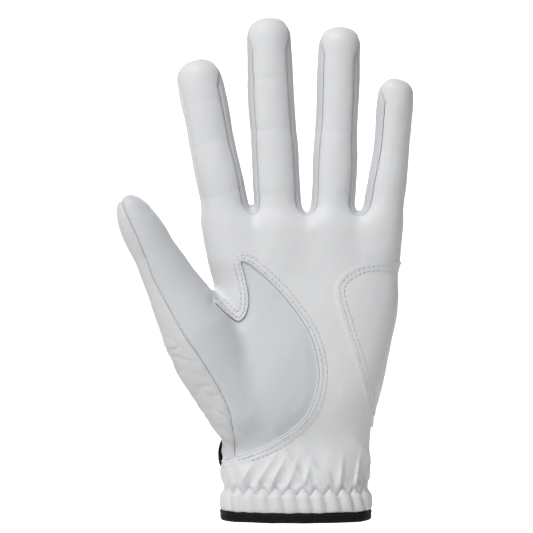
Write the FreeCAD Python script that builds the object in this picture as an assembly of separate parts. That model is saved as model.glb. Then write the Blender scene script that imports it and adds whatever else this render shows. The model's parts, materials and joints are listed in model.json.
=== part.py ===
"""Golf glove for the left hand, held open as if a hand were in it.

Frame, in millimetres: the origin is the centre of the cuff's opening, +Z runs along the
fingers, the palm faces -Y, and the thumb is on the -X side.  Every leather piece is a
thin shell.  Each finger bends at its knuckle and at its middle joint, the thumb at its
base and its tip joint, and the closure tab peels open on the back of the wrist.
"""

import FreeCAD, Part
import math
import os

Vec = FreeCAD.Vector

# ---- skins and clearances ----
leather = 0.8            # thickness of the leather skin
patch = 0.7              # thickness of a piece sewn on top of another
binding = 0.7            # thickness of the edge tape
knit = 0.6               # thickness of the stretch panel over the knuckles
fastener = 0.9           # thickness of the hook patch and of the loop patch
clear = 0.3              # room between bodies that move apart
notch_room = 1.5         # degrees that a folded crease keeps open at its limit

# ---- hand ----
wrist_width = 67.6       # cuff, side to side
wrist_depth = 42.0       # cuff, palm to back
wrist_length = 30.0      # cuff edge to where the hand starts to widen
palm_length = 140.0      # cuff edge to the webs between the fingers
knuckle_depth = 22.0     # palm to back at the webs
palm_power = 2.5         # squareness of the hand's oval, 2 is an ellipse
web_rounding = 2.5       # how far the top of the palm is rounded off
index_edge = -42.0       # x of the index finger's outer edge at the webs
widening = 0.66          # share of the palm's height over which the little finger's side widens

# ---- fingers: base_room is the finger's share of the knuckle line ----
fingers = {
    "index": dict(base_room=21.2, lean=-11.7, length=72.0, base=21.4, tip=20.2, pivots=(9.5, 34.0)),
    "middle": dict(base_room=25.4, lean=-3.2, length=89.5, base=22.0, tip=20.4, pivots=(9.5, 39.0)),
    "ring": dict(base_room=24.8, lean=2.4, length=85.5, base=20.4, tip=19.0, pivots=(9.5, 37.0)),
    "little": dict(base_room=19.4, lean=6.9, length=61.8, base=18.0, tip=15.2, pivots=(8.5, 29.5)),
}
finger_flatness = 0.93   # depth of a finger over its width
side_strip = 12.4        # width of the fourchette, the strip between two fingers
strip_taper = 4.0        # it starts to narrow this far before the round tip
strip_stop = 1.0         # and ends this far from the end of the finger
outer_seam = 3.6         # the index finger's outer seam lies this far towards the palm
fold_seam = -3.0         # the little finger's outer seam lies this far towards the back
knuckle_bend = 75.0      # degrees
middle_bend = 90.0

# ---- thumb: its axis starts at the thumb's web ----
thumb_web = (-48.7, 94.4)   # x and z of the axis level with the web
thumb_forward = -10.5       # y of the axis there
thumb_lean = -28.9          # degrees from +Z towards -X
thumb_pitch = 7.0           # degrees towards the palm
thumb_turn = 30.0           # degrees that its pad is turned towards the fingers
thumb_length = 61.5         # web to tip
thumb_root = 58.0           # web to the lower end of the ball of the thumb
thumb_root_width = 31.0
thumb_web_width = 28.4
thumb_joint_width = 20.6    # at the tip joint
thumb_flatness = 0.90
thumb_bluntness = 0.8       # 1 is an elliptic tip, less is blunter
thumb_pivots = (8.5, 34.0)
thumb_bend = (35.0, 60.0)
thumb_seam = (-58.0, 85.0)  # degrees round the thumb from its pad, of its two seams

# ---- sewn panels on the hand ----
side_seam = -3.0            # y of the seam between palm and back on the thumb side
gusset_top = (-25.5, 118.0)
gusset_shoulder = (-3.5, 100.5)
gusset_side = (9.4, 68.0)
gusset_heel = (1.5, 45.5)
gusset_end = (-36.0, 27.0)
ball_room = (9.0, 6.0)       # the thumb's back piece runs this far outside and below the ball
heel_top = 118.5            # heel patch: z of its upper edge
heel_edge = [(50.0, 118.5), (30.0, 118.3), (19.5, 112.0), (16.8, 104.0), (24.6, 77.7), (34.8, 36.0)]
heel_wrap = 8.0             # how far it runs round onto the back
tongue_root = 116.0         # the palm's tongue over the thumb's web: z of its upper end
tongue_left = -37.5
tongue_right = -21.8
tongue_tip = (-26.5, 91.0)
tongue_round = 5.0

# ---- wrist and closure ----
binding_height = 4.8
elastic_bottom = 8.0
elastic_height = 8.0
elastic_thickness = 1.0
slit_x = -2.0
slit_width = 13.0           # at the cuff
slit_top_width = 6.0
slit_length = 60.0
slit_edge = 3.0             # width of the tape round the slit
tab_hinge_x = 17.0
tab_reach = -32.5           # x of its free end
tab_level = 31.0            # z of its middle at the hinge
tab_height = 27.0
tab_end_height = 17.0
tab_end_level = 29.5
tab_trim = 3.0              # width of the black edge at the free end
trim_run = 4.0              # it runs on this far past the round end
anchor_width = 9.0
knuckle_panel = (-22.0, 33.0, 104.0, 116.0)  # x from, x to, z from, z to
panel_corner = 0.45          # its corner radius over its height

far = 120.0                 # longer than any cut that it is used for
past = 1.0                  # how far a cutting shape runs beyond what it cuts
open_end = 5.0              # how far a hollow runs beyond the open end of its tube
least_hollow = 1.6          # a section is hollow when its half width is this many skins
finger_root = -12.0         # a finger's tube starts this far below the webs
sector_side = 40.0          # degrees of a sector's rim that one straight side spans
below_cuff = 5.0            # how far the hand's form runs below the cuff before it is cut
hollow_steps = 7            # sections of the hand's loft above the wrist
dome_angles = (0.0, 22.0, 42.0, 60.0, 74.0, 84.0)


class Digit:
    """A finger's or thumb's own axes: s runs to the tip, u across it, front to its pad."""

    def __init__(self, name, origin, lean, pitch=0.0, turn=0.0):
        self.name = name
        self.origin = Vec(*origin)
        lean, pitch, turn = (math.radians(a) for a in (lean, pitch, turn))
        level = math.cos(pitch)
        self.along = Vec(math.sin(lean) * level, -math.sin(pitch), math.cos(lean) * level)
        facing = Vec(math.sin(turn), -math.cos(turn), 0)
        self.front = facing - self.along * facing.dot(self.along)
        self.front.normalize()
        self.across = self.along.cross(self.front)

    def at(self, s, u=0.0, front=0.0):
        return self.origin + self.along * s + self.across * u + self.front * front

    def tube(self, stations, inset=0.0):
        """Solid through oval sections, each given as (s, half width, half depth)."""
        rings = [
            oval(self.at(s), self.across, self.front, wide - inset, deep - inset)
            for s, wide, deep in stations
        ]
        return Part.makeLoft(rings, True, True)

    def prism(self, outline, low=-far, high=far):
        """Outline of (front, s) points, drawn out across the digit from low to high."""
        points = [self.at(s, low, front) for front, s in outline]
        face = Part.Face(Part.makePolygon(points + points[:1]))
        return face.extrude(self.across * (high - low))

    def sector(self, from_angle, to_angle, start, end):
        """Part of space between two angles round the digit, measured from its pad."""
        steps = max(2, int((to_angle - from_angle) // sector_side))
        angles = [math.radians(from_angle + (to_angle - from_angle) * k / steps) for k in range(steps + 1)]
        rim = [self.at(start, far * math.sin(a), far * math.cos(a)) for a in angles]
        points = [self.at(start)] + rim
        face = Part.Face(Part.makePolygon(points + points[:1]))
        return face.extrude(self.along * (end - start))


def oval(centre, across, up, half_wide, half_deep, power=2.0, count=20):
    """Closed curve: an ellipse, or a squarer oval as power goes above 2."""
    points = []
    for k in range(count):
        angle = 2 * math.pi * k / count
        c = math.cos(angle)
        s = math.sin(angle)
        x = half_wide * math.copysign(abs(c) ** (2 / power), c)
        y = half_deep * math.copysign(abs(s) ** (2 / power), s)
        points.append(centre + across * x + up * y)
    curve = Part.BSplineCurve()
    curve.interpolate(points, PeriodicFlag=True)
    return Part.Wire(curve.toShape())


def tapered(digit_size):
    """Sections of a finger: a gentle taper and then a round tip."""
    start, length, base, tip, flat = digit_size
    radius = tip / 2
    stations = [(start, base / 2, base / 2 * flat), (0.0, base / 2, base / 2 * flat)]
    for angle in dome_angles:
        a = math.radians(angle)
        s = length - radius + radius * math.sin(a)
        wide = radius * math.cos(a)
        stations.append((s, wide, wide * flat))
    return stations


def shell(digit, stations, skin):
    """Tube of the given skin, closed at the tip and open at the root."""
    inner = [(s - skin * (k > 1), w, d) for k, (s, w, d) in enumerate(stations)]
    inner = [(s, w, d) for s, w, d in inner if w > skin * least_hollow]
    inner[0] = (inner[0][0] - open_end, inner[0][1], inner[0][2])
    return digit.tube(stations), digit.tube(inner, skin)


def bend_slope(limit):
    return math.tan(math.radians(limit / 2 + notch_room))


def below(pivot, limit):
    """Outline of what stays under a joint: flat behind its axis, sloped away before it."""
    k = bend_slope(limit)
    s = pivot - clear / 2
    return [(-far, s), (0.0, s), (far, s - k * far)]


def above(pivot, limit):
    k = bend_slope(limit)
    s = pivot + clear / 2
    return [(-far, s), (0.0, s), (far, s + k * far)]


def segment(digit, solid, start, end):
    """Length of a digit between two joints, each given as (pivot, limit) or None."""
    if start:
        solid = solid.cut(digit.prism(above(*start) + [(far, -4 * far), (-far, -4 * far)]))
    if end:
        solid = solid.cut(digit.prism(below(*end) + [(far, 4 * far), (-far, 4 * far)]))
    return solid


def crease(digit, solid, joint):
    """Leather that folds on the pad side of a joint, lying against the lower segment."""
    pivot, limit = joint
    k = bend_slope(limit)
    s = pivot - clear / 2
    return solid.common(digit.prism([(0.0, s), (far, s - k * far), (far, s + k * far)]))


def box(x0, x1, y0, y1, z0, z1):
    return Part.makeBox(x1 - x0, y1 - y0, z1 - z0, Vec(x0, y0, z0))


def smooth_outline(points, closing):
    """Closed outline in X and Z: a smooth curve through points, then straight lines."""
    curve = Part.BSplineCurve()
    curve.interpolate([Vec(x, -far, z) for x, z in points])
    corners = [Vec(points[-1][0], -far, points[-1][1])]
    corners += [Vec(x, -far, z) for x, z in closing]
    corners.append(Vec(points[0][0], -far, points[0][1]))
    lines = [Part.LineSegment(a, b).toShape() for a, b in zip(corners, corners[1:])]
    return Part.Wire([curve.toShape()] + lines)


def through(wire, y0=-far, y1=far):
    """Drawn through along Y from an outline at y = -far."""
    wire = wire.translated(Vec(0, y0 + far, 0))
    return Part.Face(wire).extrude(Vec(0, y1 - y0, 0))


# ---- the hand's form ----
hand_forms = {}


def knuckle_width():
    return sum(f["base_room"] for f in fingers.values())


def hand_section(z, offset=0.0):
    """Oval of the hand at a height; offset grows it."""
    t = min(max((z - wrist_length) / (palm_length - wrist_length), 0.0), 1.0)
    left = -wrist_width / 2 + (index_edge + wrist_width / 2) * t ** 2
    right_end = index_edge + knuckle_width()
    spread = min(t / widening, 1.0)
    right = wrist_width / 2 + (right_end - wrist_width / 2) * spread ** 2 * (3 - 2 * spread)
    depth = wrist_depth + (knuckle_depth - wrist_depth) * t ** 1.4
    over = max(z - palm_length, 0.0)
    half = (right - left) / 2 + offset - over
    return oval(Vec((left + right) / 2, 0, z), Vec(1, 0, 0), Vec(0, -1, 0),
                half, depth / 2 + offset - over, palm_power, 32)


def hand_form(offset, bottom, top):
    """Solid of the hand without its digits, between two heights."""
    if offset not in hand_forms:
        rise = (palm_length - wrist_length) / hollow_steps
        heights = [-below_cuff, wrist_length / 2]
        heights += [wrist_length + rise * k for k in range(hollow_steps + 1)]
        rings = [hand_section(z, offset) for z in heights]
        hand_forms[offset] = Part.makeLoft(rings, True, False)
    solid = hand_forms[offset].common(box(-far, far, -far, far, bottom, min(top, palm_length)))
    if top > palm_length:
        crown = [hand_section(z, offset) for z in (palm_length, top)]
        solid = solid.fuse(Part.makeLoft(crown, True, True))
    return solid


# ---- pieces ----
pieces = {}


def keep(name, solid):
    solids = [s for s in solid.Solids if s.Volume > 0.5]
    if not solids:
        raise ValueError("no solid left for " + name)
    pieces[name] = solids[0] if len(solids) == 1 else Part.makeCompound(solids)


def make_digits():
    """Finger lofts, with the room each one takes on the knuckle line."""
    made = {}
    x = index_edge
    for name, f in fingers.items():
        digit = Digit(name, (x + f["base_room"] / 2, 0, palm_length), f["lean"])
        size = (finger_root, f["length"], f["base"], f["tip"], finger_flatness)
        made[name] = (digit, *shell(digit, tapered(size), leather))
        x += f["base_room"]
    return made


def thumb_stations():
    joint = thumb_pivots[1]
    stations = []
    halfway_width = (thumb_web_width + thumb_joint_width) / 2
    widths = ((-thumb_root, thumb_root_width), (-thumb_root / 3, thumb_root_width),
              (0.0, thumb_web_width), (joint / 2, halfway_width), (joint, thumb_joint_width))
    for s, width in widths:
        stations.append((s, width / 2, width / 2 * thumb_flatness))
    radius = thumb_joint_width / 2
    rise = thumb_length - joint
    for angle in dome_angles[1:]:
        a = math.radians(angle)
        wide = radius * math.cos(a) ** thumb_bluntness
        stations.append((joint + rise * math.sin(a), wide, wide * thumb_flatness))
    return stations


def make_thumb():
    origin = (thumb_web[0], thumb_forward, thumb_web[1])
    return Digit("thumb", origin, thumb_lean, thumb_pitch, thumb_turn)


def thumb_web_edge():
    """Where the thumb's inner edge meets the hand."""
    return make_thumb().at(0.0, thumb_web_width / 2)


def finger_pieces(name, digit, skin):
    f = fingers[name]
    limits = (knuckle_bend, middle_bend)
    joints = list(zip(f["pivots"], limits))
    parts = {"base": segment(digit, skin, *joints), "tip": segment(digit, skin, joints[1], None)}
    half = side_strip / 2
    dome = f["length"] - f["tip"] / 2
    narrow = dome - strip_taper
    end = f["length"] - strip_stop
    strip = [(half, -far), (half, narrow), (0.0, end), (-half, narrow), (-half, -far)]
    inner_sides = {"index": ("b",), "middle": ("a", "b"), "ring": ("a", "b"), "little": ("a",)}[name]
    seams = {"a": outer_seam, "b": fold_seam}
    spans = {"a": (-far, 0.0), "b": (0.0, far)}
    for part, solid in parts.items():
        for side in inner_sides:
            cutter = digit.prism(strip, *spans[side])
            label = "" if len(inner_sides) == 1 else "_" + side
            keep(f"{name}_{part}_side{label}", solid.common(cutter))
            solid = solid.cut(cutter)
        front = None
        for side, span in spans.items():
            level = 0.0 if side in inner_sides else seams[side]
            block = digit.prism([(level, -far), (far, -far), (far, far), (level, far)], *span)
            front = block if front is None else front.fuse(block)
        keep(f"{name}_{part}_front", solid.common(front))
        keep(f"{name}_{part}_back", solid.cut(front))
    keep(f"{name}_knuckle_crease", crease(digit, skin, joints[0]))
    keep(f"{name}_middle_crease", crease(digit, skin, joints[1]))


def thumb_pieces(digit, skin):
    joints = list(zip(thumb_pivots, thumb_bend))
    pad = digit.sector(thumb_seam[0], thumb_seam[1], -far, far)
    parts = {"base": segment(digit, skin, *joints), "tip": segment(digit, skin, joints[1], None)}
    for part, solid in parts.items():
        keep(f"thumb_{part}_front", solid.common(pad))
        keep(f"thumb_{part}_back", solid.cut(pad))
    keep("thumb_base_crease", crease(digit, skin, joints[0]))
    keep("thumb_tip_crease", crease(digit, skin, joints[1]))
    return pad


def slit_outline(extra):
    """The slit in the back of the wrist, grown by extra; it narrows to a round top."""
    low = slit_width / 2 + extra
    high = slit_top_width / 2 + extra
    top = slit_length - slit_top_width / 2
    a = Vec(slit_x - low, 0, -below_cuff)
    b = Vec(slit_x - high, 0, top)
    crown = Vec(slit_x, 0, top + high)
    c = Vec(slit_x + high, 0, top)
    d = Vec(slit_x + low, 0, -below_cuff)
    edges = [Part.LineSegment(a, b).toShape(), Part.Arc(b, crown, c).toShape(),
             Part.LineSegment(c, d).toShape(), Part.LineSegment(d, a).toShape()]
    return Part.Face(Part.Wire(edges)).extrude(Vec(0, far, 0))


def hand_pieces(digits, thumb, thumb_outer, thumb_inner, pad):
    outer = hand_form(0.0, binding, palm_length + web_rounding)
    inner = hand_form(-leather, -past, palm_length + web_rounding - leather)
    for name, (digit, tube, hollow) in digits.items():
        joint = (fingers[name]["pivots"][0], knuckle_bend)
        outer = outer.fuse(segment(digit, tube, None, joint))
        inner = inner.fuse(hollow)
    joint = (thumb_pivots[0], thumb_bend[0])
    outer = outer.fuse(segment(thumb, thumb_outer, None, joint))
    inner = inner.fuse(thumb_inner)
    skin = outer.cut(inner)

    front = box(-far, 0, -far, side_seam, -past, 2 * far)
    front = front.fuse(box(0, far, -far, 0, -past, 2 * far))
    palm = skin.common(front)
    back = skin.cut(front)

    web = thumb_web_edge()
    halfway = math.radians(thumb_lean / 2)
    split = web + Vec(math.sin(halfway), 0, math.cos(halfway)) * far
    around = [(-2 * far, gusset_end[1]), (-2 * far, split.z), (split.x, split.z)]
    root = thumb.at(-thumb_root)
    behind = [(web.x, web.z), (root.x - ball_room[0], root.z - ball_room[1]), gusset_end]
    thumb_zone = through(smooth_outline(behind, around))
    seam = [gusset_top, gusset_shoulder, gusset_side, gusset_heel, gusset_end]
    gusset_zone = through(smooth_outline(seam, around + [(web.x, web.z)]))
    under_web = thumb.prism([(-far, 0.0), (far, 0.0), (far, -2 * far), (-far, -2 * far)])
    free_thumb = thumb_outer.cut(under_web)
    gusset_zone = gusset_zone.fuse(free_thumb)
    ball_front = palm.common(gusset_zone)
    keep("thumb_gusset", ball_front.common(pad))
    thumb_back = ball_front.cut(pad).fuse(back.common(thumb_zone))
    keep("thumb_root_back", thumb_back)
    palm = palm.cut(gusset_zone)
    back = back.cut(thumb_zone)
    keep("palm_panel", palm)

    wide_slit = slit_outline(slit_edge)
    slit = slit_outline(0.0)
    above_tape = box(-far, far, -far, far, binding_height, 2 * far)
    top = slit_length + 2 * slit_edge
    tape = hand_form(binding / 2, 0.0, top)
    tape = tape.cut(hand_form(-leather - binding / 2, -past, top + past))
    keep("slit_tape", tape.common(wide_slit.cut(slit)).common(above_tape))
    back = back.cut(wide_slit)
    x0, x1, z0, z1 = knuckle_panel
    panel = box(x0, x1, 0.0, far, z0, z1)
    upright = [e for e in panel.Edges if abs(e.tangentAt(e.FirstParameter).y) > 0.9]
    panel = panel.makeFillet((z1 - z0) * panel_corner, upright)
    keep("knuckle_stretch_panel", back.common(panel).cut(hand_form(-knit, 0.0, palm_length)))
    keep("back_panel", back.cut(panel))
    return slit, wide_slit


def sewn_on(slit, wide_slit):
    """Layers on the hand's own skin."""
    layer = hand_form(patch, binding_height, palm_length)
    layer = layer.cut(hand_form(0.0, binding_height - past, palm_length + past))
    outer_side = [(far, heel_edge[-1][1]), (far, heel_edge[0][1])]
    heel = through(smooth_outline(heel_edge, outer_side), -far, heel_wrap)
    keep("heel_patch", layer.common(heel))

    top = elastic_bottom + elastic_height
    ring = hand_form(-leather, elastic_bottom, top)
    ring = ring.cut(hand_form(-leather - elastic_thickness, elastic_bottom - past, top + past))
    keep("wrist_elastic", ring.cut(wide_slit))

    tape = hand_form(binding, 0.0, binding_height)
    tape = tape.cut(hand_form(-leather - binding, -past, binding_height + past))
    groove = hand_form(0.0, binding, binding_height + past)
    groove = groove.cut(hand_form(-leather, 0.0, binding_height + 2 * past))
    keep("cuff_binding", tape.cut(groove).cut(slit))


def tongue_outline():
    """The web, the upper edge on the palm, and a round free end."""
    x, low = tongue_tip
    web = thumb_web_edge()
    side = low + tongue_round
    around = [(x, low), (web.x, web.z), (tongue_left, tongue_root), (gusset_top[0], tongue_root),
              (tongue_right, side + tongue_round), (tongue_right, side)]
    corners = [Vec(a, -far, b) for a, b in around]
    lines = [Part.LineSegment(a, b).toShape() for a, b in zip(corners, corners[1:])]
    belly = Vec((x + 2 * tongue_right) / 3, -far, low + tongue_round / 3)
    return Part.Wire(lines + [Part.Arc(corners[-1], belly, corners[0]).toShape()])


def tongue_piece(thumb):
    """Tab of palm leather that hangs over the thumb's web and is sewn to the gusset."""
    stations = thumb_stations()
    over = thumb.tube([(s, w + patch, d + patch) for s, w, d in stations])
    over = over.fuse(hand_form(patch, wrist_length, palm_length))
    under = thumb.tube(stations).fuse(hand_form(0.0, wrist_length - past, palm_length))
    keep("palm_tongue", over.cut(under).common(through(tongue_outline(), -far, 0.0)))


def tab_outline(inset=0.0):
    """Closure tab seen from behind: it narrows towards its round free end."""
    x0 = tab_hinge_x - clear / 2
    low = tab_end_height / 2 - inset
    a = Vec(x0, 0, tab_level + tab_height / 2 - inset)
    b = Vec(tab_reach + tab_end_height / 2, 0, tab_end_level + low)
    tip = Vec(tab_reach + inset, 0, tab_end_level)
    c = Vec(tab_reach + tab_end_height / 2, 0, tab_end_level - low)
    d = Vec(x0, 0, tab_level - tab_height / 2 + inset)
    edges = [Part.LineSegment(a, b).toShape(), Part.Arc(b, tip, c).toShape(),
             Part.LineSegment(c, d).toShape(), Part.LineSegment(d, a).toShape()]
    return Part.Face(Part.Wire(edges)).extrude(Vec(0, far, 0))


def back_layer(low, high):
    """Curved layer over the back of the wrist between two heights above the skin."""
    top = tab_level + tab_height
    layer = hand_form(high, binding_height + past, top)
    layer = layer.cut(hand_form(low, binding_height, top + past))
    return layer.common(box(-far, far, past, far, 0, 2 * far))


def closure():
    hook = fastener + clear
    under = hook + fastener
    over = under + leather
    whole = tab_outline()
    core = tab_outline(tab_trim)
    trim_end = box(-far, tab_reach + tab_end_height / 2 + trim_run, 0, far, 0, far)
    body = back_layer(under, over)
    keep("closure_tab", body.common(whole).cut(trim_end.cut(core)))
    edge = back_layer(under - binding / 2, over + binding / 2)
    keep("tab_trim", edge.common(whole.cut(core)).common(trim_end))
    beside_slit = box(-far, slit_x - slit_width / 2 - slit_edge - past, 0, far, 0, far)
    reach = tab_outline(tab_trim + past).common(beside_slit)
    keep("hook_patch", back_layer(hook, under).common(reach))
    keep("loop_patch", back_layer(0.0, fastener).common(reach))
    anchor = box(tab_hinge_x + clear / 2, tab_hinge_x + anchor_width, past, far,
                 tab_level - tab_height / 2, tab_level + tab_height / 2)
    keep("tab_anchor", back_layer(0.0, over).common(anchor))


def build():
    digits = make_digits()
    for name, (digit, tube, hollow) in digits.items():
        finger_pieces(name, digit, tube.cut(hollow))
    thumb = make_thumb()
    outer, inner = shell(thumb, thumb_stations(), leather)
    pad = thumb_pieces(thumb, outer.cut(inner))
    slit, wide_slit = hand_pieces(digits, thumb, outer, inner, pad)
    sewn_on(slit, wide_slit)
    tongue_piece(thumb)
    closure()


build()
os.makedirs("parts", exist_ok=True)
for node, solid in pieces.items():
    solid.exportStep(f"parts/{node}.step")
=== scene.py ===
"""Looks of the golf glove: sewn leather panels over the CAD frame's bodies.

The whole outer skin is worked out first as one smooth surface, a blend of the hand's oval,
four fingers and a thumb.  Seams, puckers, wrinkles and gathers then move that surface in
and out, it is cut along its seams into the glove's real panels, and each panel is given
thickness.  All lengths are in metres, in the CAD frame.
"""

import json
import math

import bpy
import numpy as np
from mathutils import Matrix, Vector
from mathutils.bvhtree import BVHTree


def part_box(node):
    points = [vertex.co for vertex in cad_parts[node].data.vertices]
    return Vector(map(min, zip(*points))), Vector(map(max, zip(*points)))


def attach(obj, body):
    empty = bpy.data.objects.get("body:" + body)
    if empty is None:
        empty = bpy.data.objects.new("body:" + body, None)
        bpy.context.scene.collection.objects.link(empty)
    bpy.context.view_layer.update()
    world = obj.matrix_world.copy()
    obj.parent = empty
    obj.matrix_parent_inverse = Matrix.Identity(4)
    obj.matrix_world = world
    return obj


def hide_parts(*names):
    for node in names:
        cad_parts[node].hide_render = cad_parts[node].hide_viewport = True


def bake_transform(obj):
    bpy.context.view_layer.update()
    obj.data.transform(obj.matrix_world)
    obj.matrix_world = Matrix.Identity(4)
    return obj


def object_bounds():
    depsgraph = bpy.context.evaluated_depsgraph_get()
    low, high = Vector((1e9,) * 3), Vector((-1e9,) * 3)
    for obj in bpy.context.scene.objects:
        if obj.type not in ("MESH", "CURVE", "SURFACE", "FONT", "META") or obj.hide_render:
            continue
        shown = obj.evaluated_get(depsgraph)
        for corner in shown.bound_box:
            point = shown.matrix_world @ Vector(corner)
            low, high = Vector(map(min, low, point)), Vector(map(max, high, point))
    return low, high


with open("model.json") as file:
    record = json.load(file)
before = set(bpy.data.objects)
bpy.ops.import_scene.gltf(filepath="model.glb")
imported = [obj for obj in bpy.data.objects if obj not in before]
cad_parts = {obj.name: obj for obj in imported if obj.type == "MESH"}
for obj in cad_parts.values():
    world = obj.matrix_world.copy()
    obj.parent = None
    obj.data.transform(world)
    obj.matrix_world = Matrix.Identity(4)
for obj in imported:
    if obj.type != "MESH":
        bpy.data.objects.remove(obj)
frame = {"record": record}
cad_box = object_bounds()

MM = 0.001
GRID = 1.5 * MM              # pitch of the grid that the skin is found on
LEATHER = 0.8 * MM
TAPE = 0.7 * MM
SEAM_GAP = 0.12 * MM         # half the width of the dark line between two sewn panels
FLATNESS = 0.93              # a finger's depth over its width
SIDE_STRIP = 6.2 * MM        # half the width of the strip between two fingers
SIDE_SEAM = 3.0 * MM         # the palm's edge lies this far off the middle plane
INDEX_SEAM = 3.6 * MM        # towards the palm
LITTLE_SEAM = -3.0 * MM      # towards the back
PALM_DEEP = 11.2 * MM        # half the palm's depth at the webs
PALM_INSET = 3.4 * MM        # the palm's side lies this far inside the heel patch's
PALM_CROWN = 7.0 * MM        # rounding of the palm's top edge
WEB_SINK = 1.0 * MM
BETWEEN_FINGERS = 2.2 * MM   # roundings where the forms run together
FINGER_TO_PALM = 8.0 * MM
THUMB_TO_HAND = 4.5 * MM
OUTSIDE = 1.0                # a distance larger than the glove
LEFT_OF_ALL = -0.2           # X and Z that lie clear of the glove
RIGHT_OF_ALL = 0.2
ABOVE_ALL = 0.3
PAST_TIP = 0.2               # the gusset's outline is closed this far up the thumb's axis
PAST_SIDE = 0.06             # and this far towards the index finger
CLEAR = 0.1                  # rays start this far off
ROWS = (1.5 * MM, 3.5 * MM)  # the two rows of stitches, inside a sewn edge
STITCH_PITCH = 2.3 * MM
PULL_PITCH = 3.0 * MM        # of the hidden stitches in a turned seam
SEED = 7

FINGERS = ("index", "middle", "ring", "little")
JOINTS = {j["name"]: j for j in frame["record"]["behaviour"]["joints"]}


# ---- small helpers
def smooth(low, high, x):
    t = np.clip((x - low) / (high - low), 0.0, 1.0)
    return t * t * (3 - 2 * t)


def bump(x, width):
    """1 at x = 0, falling to 0 over about two widths."""
    return np.exp(-(x / width) ** 2)


def soft_min(a, b, k):
    h = np.clip(0.5 + 0.5 * (b - a) / k, 0.0, 1.0)
    return b + (a - b) * h - k * h * (1 - h)


def soft_max(a, b, k):
    return -soft_min(-a, -b, k)


def waves(p, length, seed, count=10):
    """Smooth random field of about -1 to 1, from plane waves of one length."""
    rng = np.random.default_rng(SEED + seed)
    total = np.zeros(len(p))
    for _ in range(count):
        way = rng.normal(size=3)
        way *= 2 * math.pi / (length * rng.uniform(0.75, 1.35) * np.linalg.norm(way))
        total += np.sin(p @ way + rng.uniform(0, 2 * math.pi))
    return total / math.sqrt(count)


# ---- the hand's frame
def low_high(node):
    low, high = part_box(node)
    return np.array(low), np.array(high)


CUFF_LOW = low_high("cuff_binding")[0]
WRIST_HALF = -CUFF_LOW[0] - TAPE
WRIST_DEEP = -CUFF_LOW[1] - TAPE
POWER = 2.5                  # squareness of the hand's oval
PALM_HIGH = low_high("palm_panel")[1]
ELASTIC_LOW, ELASTIC_HIGH = low_high("wrist_elastic")
GATHER_LINE = ELASTIC_HIGH[2] - 1.2 * MM
ZIG_LEG = 3.2 * MM           # one leg of the zigzag, measured round the wrist
ZIG_RISE = 1.8 * MM


def along_x(run):
    """Places in a row, to take waves along a line."""
    return np.stack([run, 0 * run, 0 * run], 1)


def wrist_table():
    """Angles round the wrist's oval, and how far along it each one lies."""
    angle = np.linspace(0, math.pi, 400)
    s, c = np.sin(angle), np.cos(angle)
    out = (np.abs(s) ** POWER + np.abs(c) ** POWER) ** (-1 / POWER)
    step = np.hypot(np.diff(WRIST_HALF * s * out), np.diff(WRIST_DEEP * c * out))
    return angle, np.concatenate([[0], np.cumsum(step)])


WRIST_ANGLE, WRIST_ARC = wrist_table()
WRIST_HALF_ROUND = WRIST_ARC[-1]


def round_wrist(p, way=-1.0):
    """Distance round the wrist, from the middle of the palm side or (way = 1) of the back."""
    angle = np.arctan2(p[:, 0] / WRIST_HALF, way * p[:, 1] / WRIST_DEEP)
    return np.sign(angle) * np.interp(np.abs(angle), WRIST_ANGLE, WRIST_ARC)


def wrist_ray(arc, way=-1.0):
    """Direction from the wrist's axis to a place on it, the reverse of round_wrist."""
    angle = np.interp(np.abs(arc), WRIST_ARC, WRIST_ANGLE) * np.sign(arc)
    ray = np.stack([np.sin(angle) * WRIST_HALF, way * np.cos(angle) * WRIST_DEEP, 0 * angle], 1)
    return ray / np.linalg.norm(ray, axis=1, keepdims=True)


class Digit:
    """A finger's or thumb's axes. s = 0 is its first joint, u runs across, v to its pad."""

    def __init__(self, name, first, second):
        self.name = name
        self.base, self.tip = name + "_base", name + "_tip"
        self.knee = np.array(JOINTS[first]["pos_m"])
        bend = np.array(JOINTS[second]["pos_m"])
        self.across = np.array(JOINTS[first]["axis"])
        self.along = bend - self.knee
        self.middle = np.linalg.norm(self.along)
        self.along = self.along / self.middle
        self.front = np.cross(self.across, self.along)

    def at(self, s):
        return self.knee + self.along * s

    def local(self, p):
        q = p - self.knee
        return q @ self.along, q @ self.across, q @ self.front


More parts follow.
